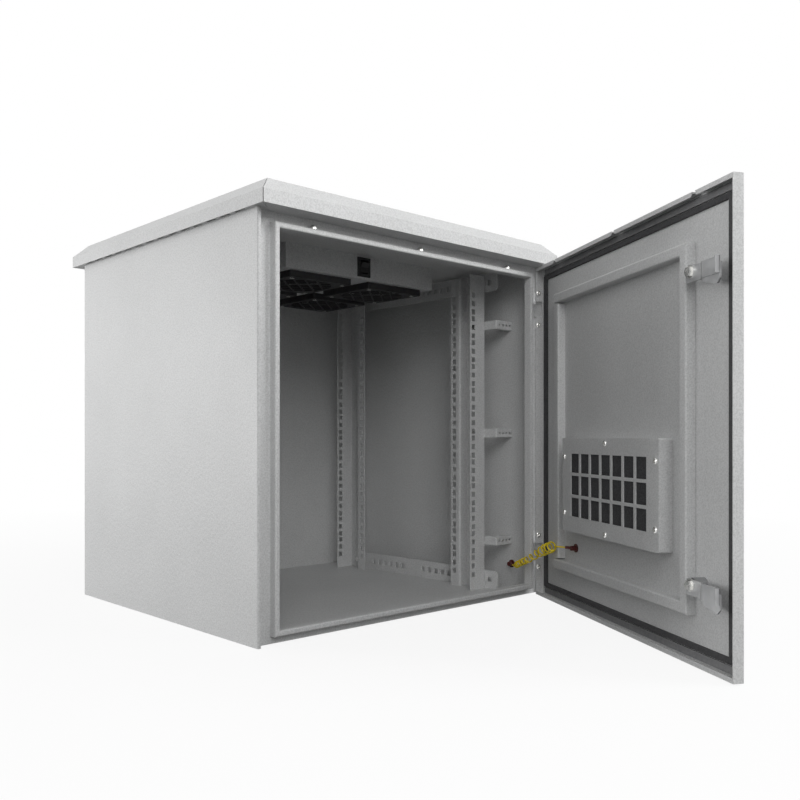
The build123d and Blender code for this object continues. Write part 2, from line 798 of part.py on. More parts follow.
# Vent hoods over the louvre gaps, on the outside of the door
with BuildPart() as door_vent:
    with BuildSketch(Plane.YZ.offset(fittings_x - louvre_length / 2)):
        for index in range(louvre_count):
            top = filter_centre_z + (index - (louvre_count - 1) / 2) * louvre_pitch + louvre_gap
            with BuildLine():
                Polyline(
                    (door_outside, top),
                    (door_outside - louvre_hood, top - louvre_gap),
                    (door_outside - louvre_hood, top - louvre_gap - sheet),
                    (door_outside - louvre_hood + sheet, top - louvre_gap - sheet),
                    (door_outside - louvre_hood + sheet, top - louvre_gap - sheet / 2),
                    (door_outside, top - 2 * sheet),
                    close=True,
                )
            make_face()
    extrude(amount=louvre_length)
finish_open(door_vent, "door_vent_hoods")

# Gasket ring that the rim presses into
with BuildPart() as door_gasket:
    with BuildSketch(Plane.XZ.offset(-door_inside)):
        with Locations((0, door_mid_z)):
            Rectangle(2 * (rim_x + gasket_outer_lap), 2 * (door_half_height - gasket_end_set))
            Rectangle(
                2 * (opening_x - gasket_inner_lap),
                2 * (door_half_height - gasket_end_set - gasket_end_width),
                mode=Mode.SUBTRACT,
            )
    extrude(amount=-gasket_sheet)
finish_open(door_gasket, "door_gasket")

# Stiffening frame: four channels, open towards the door, mitred at the lock side
channel_points = [
    (-stiffener_width / 2, 0),
    (-stiffener_width / 2, stiffener_depth),
    (stiffener_width / 2, stiffener_depth),
    (stiffener_width / 2, 0),
]
hinge_channel = stiffener_half_height - stiffener_width - stiffener_gap
stiffeners = (
    ("top", 0, 1, stiffener_half_width, stiffener_half_height, (1,)),
    ("bottom", 0, -1, stiffener_half_width, stiffener_half_height, (-1,)),
    ("hinge", 1, 0, hinge_channel, stiffener_half_width, ()),
    ("lock", -1, 0, stiffener_half_height, stiffener_half_width, (-1, 1)),
)
for name, to_x, to_z, half_length, half_span, mitres in stiffeners:
    reach = half_span - stiffener_width / 2
    along = (-to_z, 0, to_x)
    channel_plane = Plane(
        origin=(fittings_x + to_x * reach, door_inside, door_mid_z + to_z * reach),
        x_dir=(to_x, 0, to_z),
        z_dir=along,
    )
    with BuildPart() as stiffener:
        with BuildSketch(channel_plane.offset(-half_length)):
            make_face(folded(channel_points, Side.RIGHT))
        extrude(amount=2 * half_length)
        # A mitre leaves a triangle of the end to the neighbouring channel
        for end in mitres:
            inner = half_length - stiffener_width
            span = half_span - stiffener_width
            corners = ((inner, span), (half_length, half_span), (half_length, span - overrun), (inner, span - overrun))
            places = [
                (
                    fittings_x + end * along[0] * length + to_x * across,
                    door_mid_z + end * along[2] * length + to_z * across,
                )
                for length, across in corners
            ]
            with BuildSketch(Plane.XZ.offset(-door_inside)):
                with BuildLine():
                    Polyline(*places, close=True)
                make_face()
            extrude(amount=-stiffener_depth - overrun, mode=Mode.SUBTRACT)
    finish_open(stiffener, f"door_stiffener_{name}")

# Filter cover with its grid of windows, the mat inside and its screws
with BuildPart() as filter_cover:
    with BuildSketch(Plane.XZ.offset(-door_inside)):
        with Locations((fittings_x, filter_centre_z)):
            Rectangle(filter_width, filter_height)
    extrude(amount=-filter_depth)
    fillet(filter_cover.edges().filter_by(Axis.Y), bend)
    with BuildSketch(Plane.XZ.offset(-door_inside)):
        with Locations((fittings_x, filter_centre_z)):
            Rectangle(filter_width - 2 * sheet, filter_height - 2 * sheet)
    extrude(amount=sheet - filter_depth, mode=Mode.SUBTRACT)
    with BuildSketch(Plane.XZ.offset(-door_inside - filter_depth)):
        with Locations((fittings_x, filter_centre_z)):
            with GridLocations(filter_pitch_x, filter_pitch_z, filter_column_count, filter_row_count):
                Rectangle(filter_pitch_x * filter_window_share_x, filter_pitch_z * filter_window_share_z)
    extrude(amount=sheet, mode=Mode.SUBTRACT)
finish_open(filter_cover, "filter_cover")

with BuildPart() as filter_mat:
    with BuildSketch(Plane.XZ.offset(sheet - door_inside - filter_depth)):
        with Locations((fittings_x, filter_centre_z)):
            Rectangle(filter_width - 2 * mat_margin, filter_height - 2 * mat_margin)
    extrude(amount=mat_sheet)
finish_open(filter_mat, "filter_mat")

screw_side = filter_width / 2 - filter_screw_set
screw_end = filter_height / 2 - filter_screw_set
screw_places = [(0, -screw_end), (0, screw_end)]
screw_rise = filter_height * filter_screw_share
screw_places += [(hand * screw_side, up * screw_rise) for hand in (-1, 1) for up in (-1, 1)]
with BuildPart() as filter_screws:
    with BuildSketch(Plane.XZ.offset(-door_inside - filter_depth)):
        with Locations((fittings_x, filter_centre_z)):
            with Locations(*screw_places):
                Circle(filter_screw_radius)
    extrude(amount=-filter_screw_head)
finish_open(filter_screws, "filter_screws")

# Lock bodies through the door
lock_length = cam_root - door_outside
with BuildPart() as lock_bodies:
    for level in lock_levels:
        with BuildSketch(Plane.XZ.offset(-door_outside)):
            with Locations((-lock_x, level)):
                Circle(lock_flange_radius)
        extrude(amount=lock_flange)
        with BuildSketch(Plane.XZ.offset(-door_outside)):
            with Locations((-lock_x, level)):
                Circle(lock_radius)
        extrude(amount=-lock_length)
        with BuildSketch(Plane.XZ.offset(lock_flange - door_outside)):
            with Locations((-lock_x, level)):
                Circle(lock_plug_radius + lock_clearance)
        extrude(amount=-lock_flange - lock_length, mode=Mode.SUBTRACT)
finish_open(lock_bodies, "lock_bodies")

# Turning pieces of each lock: plug with a key slot, hooked cam, and the bolt that holds it
for word, level in zip(lock_names, lock_levels):
    with BuildPart() as lock_plug:
        with BuildSketch(Plane.XZ.offset(lock_flange - door_outside)):
            with Locations((-lock_x, level)):
                Circle(lock_plug_radius)
        extrude(amount=-lock_flange - lock_length)
        with BuildSketch(Plane.XZ.offset(lock_flange - door_outside)):
            with Locations((-lock_x, level)):
                Rectangle(key_slot_width, key_slot_length)
        extrude(amount=-key_slot_depth, mode=Mode.SUBTRACT)
    finish_open(lock_plug, f"{word}_lock_plug")

    cam_points = [
        (cam_back - lock_x, cam_root),
        (-lock_x - cam_joggle_start, cam_root),
        (-lock_x - cam_joggle_end, cam_root + cam_joggle),
        (-lock_x - cam_tip, cam_root + cam_joggle),
        (-lock_x - cam_tip, cam_root + cam_joggle + cam_hook + cam_sheet),
    ]
    with BuildPart() as cam:
        with BuildSketch(Plane.XY.offset(level - cam_low)):
            make_face(folded(cam_points, Side.RIGHT, cam_sheet, cam_sheet))
        extrude(amount=cam_low + cam_high)
        # A wing widens the cam towards its tip, a little behind its face
        with BuildSketch(Plane.XZ.offset(cam_wing_set - cam_root - cam_joggle)):
            with BuildLine():
                Polyline(
                    (-lock_x - cam_joggle_end, level),
                    (-lock_x - cam_joggle_end, level - cam_low - cam_wing_root),
                    (-lock_x - cam_tip + cam_wing_corner, level - cam_low - cam_wing_tip),
                    (-lock_x - cam_tip, level - cam_low - cam_wing_corner),
                    (-lock_x - cam_tip, level),
                    close=True,
                )
            make_face()
        extrude(amount=-cam_sheet)
    finish_open(cam, f"{word}_cam")

    with BuildPart() as cam_bolt:
        with BuildSketch(Plane.XZ.offset(-cam_root - cam_sheet)):
            with Locations((-lock_x, level)):
                Circle(cam_washer_radius)
        extrude(amount=-cam_washer)
        with BuildSketch(Plane.XZ.offset(-cam_root - cam_sheet - cam_washer)):
            with Locations((-lock_x, level)):
                RegularPolygon(cam_bolt_radius, 6)
        extrude(amount=-cam_bolt_head)
    finish_open(cam_bolt, f"{word}_cam_bolt")

# Hinge leaves on the cabinet: a plate on the gutter floor and an arm to the knuckle
web_x = rim_x + bend
for word, level in zip(lock_names, hinge_levels):
    with BuildPart() as hinge_leaf:
        with BuildSketch(Plane.XZ.offset(-plate_y)):
            with Locations((hinge_x, level)):
                Rectangle(hinge_x - web_x, 2 * hinge_half_height, align=(Align.MAX, Align.CENTER))
        extrude(amount=-hinge_plate)
        with BuildSketch(Plane.XY.offset(level - knuckle_half)):
            with Locations((hinge_x, hinge_centre_y)):
                Rectangle(hinge_web, plate_y - hinge_centre_y, align=(Align.MAX, Align.MIN))
                Circle(knuckle_radius)
                Circle(hinge_pin_radius + hinge_pin_fit, mode=Mode.SUBTRACT)
        extrude(amount=2 * knuckle_half)
    finish(hinge_leaf, f"{word}_hinge_leaf")

with BuildPart() as hinge_pins:
    for level in hinge_levels:
        with BuildSketch(Plane.XY.offset(level - knuckle_half - knuckle_gap - door_knuckle)):
            with Locations((hinge_x, hinge_centre_y)):
                Circle(hinge_pin_radius)
        extrude(amount=2 * (knuckle_half + knuckle_gap + door_knuckle))
finish(hinge_pins, "hinge_pins")

# Hinge leaves on the door: plates on the outside of its flange, each with a knuckle
leaf_y = door_outside + door_edge
with BuildPart() as door_leaves:
    for level in hinge_levels:
        for up in (-1, 1):
            leaf_z = level + up * (knuckle_half + knuckle_gap)
            with BuildSketch(Plane.XY.offset(leaf_z)):
                with Locations((door_half_width, leaf_y)):
                    Rectangle(door_leaf, door_leaf_depth, align=Align.MIN)
            extrude(amount=up * (hinge_half_height - knuckle_half - knuckle_gap))
            with BuildSketch(Plane.XY.offset(leaf_z)):
                with Locations((door_half_width, leaf_y)):
                    Rectangle(hinge_out, knuckle_radius, align=Align.MIN)
                with Locations((hinge_x, hinge_centre_y)):
                    Rectangle(
                        knuckle_radius,
                        leaf_y + knuckle_radius - hinge_centre_y,
                        align=(Align.CENTER, Align.MIN),
                    )
                    Circle(knuckle_radius)
                    Circle(hinge_pin_radius + hinge_pin_play, mode=Mode.SUBTRACT)
            extrude(amount=up * door_knuckle)
finish_open(door_leaves, "door_hinge_leaves")

# Screws of the door's leaves, with their heads inside the flange
with BuildPart() as hinge_screws:
    with BuildSketch(Plane.YZ.offset(door_half_width - sheet)):
        for level in hinge_levels:
            for up in (-1, 1):
                with Locations((door_outside + hinge_screw_set, level + up * hinge_screw_drop)):
                    Circle(hinge_screw_radius)
    extrude(amount=-hinge_screw_head)
finish_open(hinge_screws, "hinge_screws")

# Earth studs with cable lugs: one on the right wall, one on the door
stud_y = front + cabinet_stud_y
lug_aim = (cos(radians(lug_lift)), sin(radians(lug_lift)))
wall_lug = Plane(origin=(inner_x - lug_height, stud_y, cabinet_stud_z), z_dir=(-lug_aim[1], -lug_aim[0], 0))
with BuildPart() as cabinet_stud:
    with BuildSketch(Plane.YZ.offset(inner_x)):
        with Locations((stud_y, cabinet_stud_z)):
            Circle(earth_washer_radius)
    extrude(amount=-earth_washer)
    with BuildSketch(Plane.YZ.offset(inner_x - earth_washer)):
        with Locations((stud_y, cabinet_stud_z)):
            Circle(earth_stud_radius)
    extrude(amount=-earth_stud)
    with BuildSketch(wall_lug):
        Circle(lug_radius)
    extrude(amount=lug_length)
finish(cabinet_stud, "cabinet_earth_stud")

door_lug = Plane(origin=(door_stud_x, door_inside + lug_height, door_stud_z), z_dir=(*lug_aim, 0))
with BuildPart() as door_stud:
    with BuildSketch(Plane.XZ.offset(-door_inside)):
        with Locations((door_stud_x, door_stud_z)):
            Circle(earth_washer_radius)
    extrude(amount=-earth_washer)
    with BuildSketch(Plane.XZ.offset(-door_inside - earth_washer)):
        with Locations((door_stud_x, door_stud_z)):
            Circle(earth_stud_radius)
    extrude(amount=-earth_stud)
    with BuildSketch(door_lug):
        Circle(lug_radius)
    extrude(amount=lug_length)
finish_open(door_stud, "door_earth_stud")


def swung(reach):
    """Place on the line of the door's lug once the door has swung open."""
    turn = radians(door_open)
    out_x = door_stud_x + reach * lug_aim[0] - hinge_x
    out_y = door_inside + lug_height + reach * lug_aim[1] - hinge_centre_y
    open_x = hinge_x + out_x * cos(turn) - out_y * sin(turn)
    open_y = hinge_centre_y + out_x * sin(turn) + out_y * cos(turn)
    return (open_x, open_y, door_stud_z)


def route_radii(points):
    """Radius of each corner of a route, as large as its two runs allow."""
    radii = []
    for before, here, after in zip(points, points[1:], points[2:]):
        run_in = Vector(here) - Vector(before)
        run_out = Vector(after) - Vector(here)
        half_turn = radians(run_in.get_angle(run_out)) / 2
        radii.append(route_bend_share * min(run_in.length, run_out.length) / tan(half_turn))
    return radii


# Earth wire: a thin lead at each end and a fat tube round its curly middle
wire_points = [
    (inner_x - lug_height - reach * lug_aim[1], stud_y - reach * lug_aim[0], cabinet_stud_z)
    for reach in (lug_length, lug_length + lug_lead)
]
wire_points += [(inner_x - space, front + depth, height) for space, depth, height in wire_route]
wire_points += [swung(lug_length + lug_lead), swung(lug_length)]
coil_points = wire_points[wall_lead_count:-door_lead_count]
with BuildPart() as earth_wire:
    for points, radius in ((wire_points, wire_radius), (coil_points, coil_radius)):
        print("wire radii", [round(value, 1) for value in route_radii(points)])
        with BuildLine() as route:
            FilletPolyline(*points, radius=route_radii(points))
        with BuildSketch(Plane(origin=route.line @ 0, z_dir=route.line % 0)):
            Circle(radius)
        sweep(path=route.line)
finish(earth_wire, "earth_wire")
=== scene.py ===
"""Looks for the outdoor cabinet: camera, light, materials, the coiled earth wire and small fittings."""
import bpy
import bmesh
import json
from math import cos, pi, radians, sin
from mathutils import Matrix, Vector


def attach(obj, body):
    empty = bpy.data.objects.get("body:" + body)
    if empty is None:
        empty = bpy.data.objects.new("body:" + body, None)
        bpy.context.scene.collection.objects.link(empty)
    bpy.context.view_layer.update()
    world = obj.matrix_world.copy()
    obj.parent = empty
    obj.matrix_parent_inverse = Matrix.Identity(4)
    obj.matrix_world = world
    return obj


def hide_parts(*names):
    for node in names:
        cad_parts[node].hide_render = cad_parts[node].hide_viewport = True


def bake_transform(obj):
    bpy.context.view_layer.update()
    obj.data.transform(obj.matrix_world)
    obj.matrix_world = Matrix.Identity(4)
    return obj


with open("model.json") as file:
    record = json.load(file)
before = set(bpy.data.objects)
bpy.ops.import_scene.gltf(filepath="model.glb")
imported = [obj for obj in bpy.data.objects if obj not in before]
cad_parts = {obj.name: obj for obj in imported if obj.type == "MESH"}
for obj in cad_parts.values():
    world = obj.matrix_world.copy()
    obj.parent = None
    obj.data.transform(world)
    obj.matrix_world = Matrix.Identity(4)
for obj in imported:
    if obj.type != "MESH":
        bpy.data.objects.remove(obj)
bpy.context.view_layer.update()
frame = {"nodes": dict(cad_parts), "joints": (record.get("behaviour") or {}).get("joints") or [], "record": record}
nodes = frame["nodes"]
scene = bpy.context.scene
scene.view_settings.view_transform = "Standard"

# Camera, level and fitted to the photograph
sensor_width = 36
lens_length = 39.03
lens_shift = 0.0461
near_clip = 0.05
camera_place = (-0.97073, -1.2652, 0.28645)
camera_turn = (90, 0, -43.08)

cam_data = bpy.data.cameras.new("camera")
cam_data.sensor_width = sensor_width
cam_data.lens = lens_length
cam_data.shift_y = lens_shift
cam_data.clip_start = near_clip
cam = bpy.data.objects.new("camera", cam_data)
scene.collection.objects.link(cam)
cam.location = camera_place
cam.rotation_euler = [radians(turn) for turn in camera_turn]
scene.camera = cam


def new_tree(name):
    """A material, its nodes and its Principled shader."""
    mat = bpy.data.materials.new(name)
    mat.use_nodes = True
    tree = mat.node_tree
    return mat, tree, tree.nodes["Principled BSDF"]


def object_space(tree):
    """Coordinates in object space."""
    return tree.nodes.new("ShaderNodeTexCoord").outputs["Object"]


def noise(tree, coords, scale, detail, roughness):
    """A noise texture's factor, its scale per metre."""
    tex = tree.nodes.new("ShaderNodeTexNoise")
    tex.inputs["Scale"].default_value = scale
    tex.inputs["Detail"].default_value = detail
    tex.inputs["Roughness"].default_value = roughness
    tree.links.new(coords, tex.inputs["Vector"])
    return tex.outputs["Fac"]


def ramp(tree, factor, span, dark, light):
    """A colour that runs from dark to light while a factor crosses a span."""
    node = tree.nodes.new("ShaderNodeValToRGB")
    for stop, place, colour in zip(node.color_ramp.elements, span, (dark, light)):
        stop.position = place
        stop.color = (*colour, 1)
    tree.links.new(factor, node.inputs["Fac"])
    return node.outputs["Color"]


def map_range(tree, value, span, results):
    """A value that crosses a span, spread over a range of results."""
    node = tree.nodes.new("ShaderNodeMapRange")
    for name, amount in zip(("From Min", "From Max", "To Min", "To Max"), (*span, *results)):
        node.inputs[name].default_value = amount
    tree.links.new(value, node.inputs["Value"])
    return node.outputs["Result"]


def bump(tree, height, strength, depth, normal=None):
    """A bump normal from a height, on top of an earlier one if given."""
    node = tree.nodes.new("ShaderNodeBump")
    node.inputs["Strength"].default_value = strength
    node.inputs["Distance"].default_value = depth
    tree.links.new(height, node.inputs["Height"])
    if normal is not None:
        tree.links.new(normal, node.inputs["Normal"])
    return node.outputs["Normal"]


# Powder coat: slow waves of tone, wrinkles, and creases with a little less light in them
coat_dark = (0.645, 0.65, 0.65)
coat_light = (0.695, 0.70, 0.70)
coat_waves = {"scale": 6, "detail": 4.0, "roughness": 0.6}
coat_wrinkles = {"scale": 210, "detail": 2.0, "roughness": 0.5}
coat_creases = {"scale": 480, "detail": 3.0, "roughness": 0.6}
wave_span = (0.3, 0.7)
crease_span = (0.36, 0.6)
crease_shade = (0.81, 0.81, 0.81)
open_shade = (1.0, 1.0, 1.0)
coat_roughness = (0.42, 0.56)
wrinkle_strength = 0.6
wrinkle_depth = 0.0006
crease_strength = 0.48
crease_depth = 0.00025
coat_specular = 0.4

# Other surfaces: drift of colour and roughness, and a fine grain
tint_span = (0.32, 0.68)
rough_span = (0.3, 0.7)
tint_roughness = 0.6
spread_share = 0.2
spread_detail = 2.0
spread_roughness = 0.5
grain_detail = 3.0
grain_roughness = 0.55


def powder_coat(name):
    """Wrinkled powder coat."""
    mat, tree, shader = new_tree(name)
    coords = object_space(tree)
    waves = noise(tree, coords, **coat_waves)
    wrinkles = noise(tree, coords, **coat_wrinkles)
    creases = noise(tree, coords, **coat_creases)
    shaded = tree.nodes.new("ShaderNodeMix")
    shaded.data_type = "RGBA"
    shaded.blend_type = "MULTIPLY"
    shaded.inputs["Factor"].default_value = 1.0
    tree.links.new(ramp(tree, waves, wave_span, coat_dark, coat_light), shaded.inputs["A"])
    tree.links.new(ramp(tree, creases, crease_span, crease_shade, open_shade), shaded.inputs["B"])
    tree.links.new(shaded.outputs["Result"], shader.inputs["Base Color"])
    tree.links.new(map_range(tree, creases, rough_span, coat_roughness), shader.inputs["Roughness"])
    wrinkled = bump(tree, wrinkles, wrinkle_strength, wrinkle_depth)
    creased = bump(tree, creases, crease_strength, crease_depth, wrinkled)
    tree.links.new(creased, shader.inputs["Normal"])
    shader.inputs["Specular IOR Level"].default_value = coat_specular
    return mat


def surface(name, dark, light, roughness, tint, grain, depth=0.0002, strength=0.35, metallic=0.0):
    """A surface whose tint is a noise scale with its detail, and whose grain is a noise scale."""
    mat, tree, shader = new_tree(name)
    coords = object_space(tree)
    drift = noise(tree, coords, *tint, tint_roughness)
    tree.links.new(ramp(tree, drift, tint_span, dark, light), shader.inputs["Base Color"])
    spread = noise(tree, coords, grain * spread_share, spread_detail, spread_roughness)
    tree.links.new(map_range(tree, spread, rough_span, roughness), shader.inputs["Roughness"])
    fine = noise(tree, coords, grain, grain_detail, grain_roughness)
    tree.links.new(bump(tree, fine, strength, depth), shader.inputs["Normal"])
    shader.inputs["Metallic"].default_value = metallic
    return mat


coat = powder_coat("coat")
bright_zinc = surface(
    "bright_zinc",
    dark=(0.72, 0.72, 0.70),
    light=(0.86, 0.86, 0.84),
    roughness=(0.2, 0.3),
    tint=(60, 3.0),
    grain=700,
    depth=0.0001,
    strength=0.06,
    metallic=1.0,
)
satin_zinc = surface(
    "satin_zinc",
    dark=(0.40, 0.405, 0.41),
    light=(0.47, 0.475, 0.48),
    roughness=(0.36, 0.48),
    tint=(60, 3.0),
    grain=700,
    depth=0.0001,
    strength=0.08,
    metallic=1.0,
)
black = surface(
    "black",
    dark=(0.010, 0.010, 0.011),
    light=(0.020, 0.020, 0.021),
    roughness=(0.55, 0.7),
    tint=(60, 3.0),
    grain=1400,
)
foam = surface(
    "foam",
    dark=(0.040, 0.040, 0.042),
    light=(0.066, 0.066, 0.068),
    roughness=(0.8, 0.95),
    tint=(300, 3.0),
    grain=1100,
    depth=0.0005,
    strength=0.7,
)
# Painted shade: a mid-grey, darker than the coat, for the gasket's channel, standing in for the flange's shade on
# the door's painted channel
painted_channel_shade = surface(
    "painted_channel_shade",
    dark=(0.20, 0.20, 0.205),
    light=(0.26, 0.26, 0.265),
    roughness=(0.6, 0.8),
    tint=(200, 3.0),
    grain=900,
)
felt = surface(
    "felt",
    dark=(0.014, 0.014, 0.016),
    light=(0.05, 0.05, 0.053),
    roughness=(0.85, 1.0),
    tint=(420, 5.0),
    grain=800,
    depth=0.001,
    strength=0.9,
)
jacket = surface(
    "jacket",
    dark=(0.74, 0.56, 0.008),
    light=(0.86, 0.68, 0.015),
    roughness=(0.3, 0.45),
    tint=(120, 2.0),
    grain=1500,
)
sleeve = surface(
    "sleeve",
    dark=(0.03, 0.008, 0.008),
    light=(0.14, 0.02, 0.016),
    roughness=(0.35, 0.5),
    tint=(260, 2.0),
    grain=1200,
)
looks = {
    "powder_coat": coat,
    "zinc_plate": bright_zinc,
    "black_plastic": black,
    "gasket_foam": foam,
    "filter_felt": felt,
    "wire_jacket": jacket,
    "lug_sleeve": sleeve,
}
for part in frame["record"]["subparts"]:
    piece = nodes[part["node"]]
    piece.data.materials.clear()
    piece.data.materials.append(looks[part["material_slot"]])
for name in ("lower_cam", "upper_cam", "lock_bodies"):
    nodes[name].data.materials[0] = satin_zinc


def turns_round(count):
    """Even turns round a circle."""
    return [2 * pi * k / count for k in range(count)]


def ring(mesh, centre, side, over, reaches):
    """Points round a centre, each at its own reach."""
    return [
        mesh.verts.new(centre + (side * cos(turn) + over * sin(turn)) * reach)
        for turn, reach in zip(turns_round(len(reaches)), reaches)
    ]


def join_rows(mesh, rows):
    """Faces from each closed row of points to the next."""
    for first, second in zip(rows, rows[1:]):
        count = len(first)
        for k in range(count):
            n = (k + 1) % count
            mesh.faces.new((first[k], first[n], second[n], second[k]))


def close_rows(mesh, rows):
    """Faces between closed rows of points, and one on each end."""
    join_rows(mesh, rows)
    mesh.faces.new(rows[0][::-1])
    mesh.faces.new(rows[-1])


def mesh_object(name, mesh, look):
    """An object from a bmesh, which is freed."""
    mesh.normal_update()
    data = bpy.data.meshes.new(name)
    mesh.to_mesh(data)
    mesh.free()
    data.materials.append(look)
    piece = bpy.data.objects.new(name, data)
    scene.collection.objects.link(piece)
    return piece


# The coiled earth wire, from the wall's lug to the door's, its route in millimetres
route = [
    (297.096, -218.787, 46.0),
    (290.213, -228.617, 46.0),
    (282.0, -239.5, 48.0),
    (269.5, -252.5, 53.0),
    (260.5, -270.5, 60.0),
    (254.0, -293.5, 69.0),
    (249.0, -316.5, 82.0),
    (236.0, -346.5, 94.0),
    (224.0, -369.5, 101.0),
    (218.33, -385.13, 102.0),
    (219.44, -397.08, 102.0),
]
millimetres = 1000
route_steps = 24
wire_radius = 0.0014
wire_sides = 10
# Straight leads at the wall and the door, and the step along them
wall_lead = 0.028
door_lead = 0.024
lead_step = 0.002
# Share of the coil, radius and pitch: tight turns, a stretched middle and large loops
coil_shape = [
    (0.0, 0.0048, 0.0080),
    (0.30, 0.0052, 0.0095),
    (0.42, 0.0058, 0.0175),
    (0.60, 0.0068, 0.0185),
    (0.72, 0.0086, 0.0125),
    (1.0, 0.0088, 0.0120),
]
# Share of the coil over which it swells from a lead, and the tightest bend as it does
swell_share = 0.08
least_bend = 0.0046
first_turn = 0.6
turn_steps = 24

line_data = bpy.data.curves.new("wire_line", "CURVE")
line_data.dimensions = "3D"
line_data.resolution_u = route_steps
spline = line_data.splines.new("NURBS")
spline.points.add(len(route) - 1)
for point, place in zip(spline.points, route):
    point.co = (*[value / millimetres for value in place], 1)
spline.order_u = 3
spline.use_endpoint_u = True
line = bpy.data.objects.new("wire_line", line_data)
scene.collection.objects.link(line)
bpy.context.view_layer.update()
track = [vertex.co.copy() for vertex in bpy.data.meshes.new_from_object(line).vertices]
bpy.data.objects.remove(line)


def carried(points):
    """Directions along a line of points, and side directions that never twist."""
    ahead = [(b - a).normalized() for a, b in zip(points, points[1:])]
    ahead.append(ahead[-1])
    side = ahead[0].cross(Vector((0, 0, 1))).normalized()
    sides = []
    for direction in ahead:
        side = (side - direction * side.dot(direction)).normalized()
        sides.append(side)
    return ahead, sides


def tube(name, points, radius, look):
    """A closed tube along a line of points."""
    mesh = bmesh.new()
    rows = []
    for place, direction, side in zip(points, *carried(points)):
        rows.append(ring(mesh, place, side, direction.cross(side), [radius] * wire_sides))
    close_rows(mesh, rows)
    piece = mesh_object(name, mesh, look)
    piece.data.shade_smooth()
    return piece


distances = [0.0]
for a, b in zip(track, track[1:]):
    distances.append(distances[-1] + (b - a).length)
whole = distances[-1]
ahead, sides = carried(track)


def along(distance):
    """Place, direction and side on the wire's line at a distance from its start."""
    k = max(i for i, value in enumerate(distances[:-1]) if value <= distance)
    share = (distance - distances[k]) / (distances[k + 1] - distances[k])
    place = track[k].lerp(track[k + 1], share)
    direction = ahead[k].lerp(ahead[k + 1], share).normalized()
    side = sides[k].lerp(sides[k + 1], share)
    side = (side - direction * side.dot(direction)).normalized()
    return place, direction, side


def coil_at(share):
    """Radius and pitch of the coil at a share of its length."""
    for (low, *first), (high, *second) in zip(coil_shape, coil_shape[1:]):
        if share <= high:
            part = (share - low) / (high - low)
            return [a + (b - a) * part for a, b in zip(first, second)]


def swelling(share):
    """Share of the coil's radius reached: it starts and ends smoothly."""
    rise = min(1.0, share / swell_share, (1 - share) / swell_share)
    return rise * rise * (3 - 2 * rise)


coil_end = whole - door_lead
wire_path = []
turn = first_turn
distance = 0.0
while distance < whole:
    share = (distance - wall_lead) / (coil_end - wall_lead)
    place, direction, side = along(distance)
    if 0 < share < 1:
        radius, pitch = coil_at(share)
        reach = radius * swelling(share)
        bend_pitch = 2 * pi * max(0.0, least_bend * reach - reach * reach) ** 0.5
        wire_path.append(place + (side * cos(turn) + direction.cross(side) * sin(turn)) * reach)
        distance += max(pitch, bend_pitch) / turn_steps
        turn += 2 * pi / turn_steps
    else:
        wire_path.append(place)
        distance += lead_step
wire_path.append(track[-1].copy())
wire = tube("coiled_wire", wire_path, wire_radius, jacket)
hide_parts("earth_wire")
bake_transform(wire)

# The door's own frame: its hinge, how far it stands open, its inward and its sideways direction
door_joint = next(joint for joint in frame["joints"] if joint["name"] == "door_hinge")
hinge = Vector((*door_joint["pos_m"][:2], 0))
door_turn = Matrix.Rotation(radians(-door_joint["range_deg"][0]), 3, "Z")
door_in = door_turn @ Vector((0, 1, 0))
door_side = door_turn @ Vector((1, 0, 0))


def fitting(name, mesh, look, body, node=None):
    """An object that rides on a body, in the place of a CAD node if one is named."""
    piece = mesh_object(name, mesh, look)
    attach(piece, body)
    if node:
        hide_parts(node)


# Screw heads: shares of the plain head's radius and height
head_sides = 48
head_share = 1.12
head_profile_shares = [(1.0, 0.0), (1.0, 0.35), (0.95, 0.62), (0.84, 0.84), (0.68, 0.97), (0.6, 1.0)]
socket_floor_share = 0.4
cross_arm_share = 0.58
cross_half_share = 0.14
hexagon_share = 0.46
screws_apart = 0.02


def solids_of(node):
    """The points of each solid of a node whose solids stand well apart."""
    groups = []
    for vertex in nodes[node].data.vertices:
        for group in groups:
            if (group[0] - vertex.co).length < screws_apart:
                group.append(vertex.co.copy())
                break
        else:
            groups.append([vertex.co.copy()])
    return groups


def cross_reach(turn):
    """Reach from the centre of a cross to its edge, as a share of the head."""
    least = 1e-6
    wide = max(abs(cos(turn)), least)
    high = max(abs(sin(turn)), least)
    flat_arm = min(cross_arm_share / wide, cross_half_share / high)
    upright_arm = min(cross_half_share / wide, cross_arm_share / high)
    return max(flat_arm, upright_arm)


def hexagon_reach(turn):
    """Reach from the centre of a hexagon to its edge, as a share of the head."""
    return hexagon_share / cos((turn + pi / 6) % (pi / 3) - pi / 6)


def screw_heads(node, axis, body, socket_reach):
    """Domed heads with a socket, in the place of plain ones."""
    up = Vector(axis)
    side = up.orthogonal().normalized()
    over = up.cross(side)
    mesh = bmesh.new()
    for points in solids_of(node):
        middle = sum(points, Vector()) / len(points)
        low = min((point - middle).dot(up) for point in points)
        high = max((point - middle).dot(up) for point in points) - low
        radius = head_share * max(abs((point - middle).dot(side)) for point in points)
        socket = [radius * socket_reach(turn) for turn in turns_round(head_sides)]
        outline = [([radius * wide] * head_sides, rise) for wide, rise in head_profile_shares]
        outline += [(socket, 1.0), (socket, socket_floor_share)]
        rows = []
        for reaches, rise in outline:
            rows.append(ring(mesh, middle + up * (low + rise * high), side, over, reaches))
        close_rows(mesh, rows)
    fitting(node + "_heads", mesh, bright_zinc, body, node)


screw_heads("rim_bolts", (0, 0, 1), "cabinet", hexagon_reach)
screw_heads("filter_screws", door_in, "door", cross_reach)
screw_heads("hinge_screws", -door_side, "door", cross_reach)

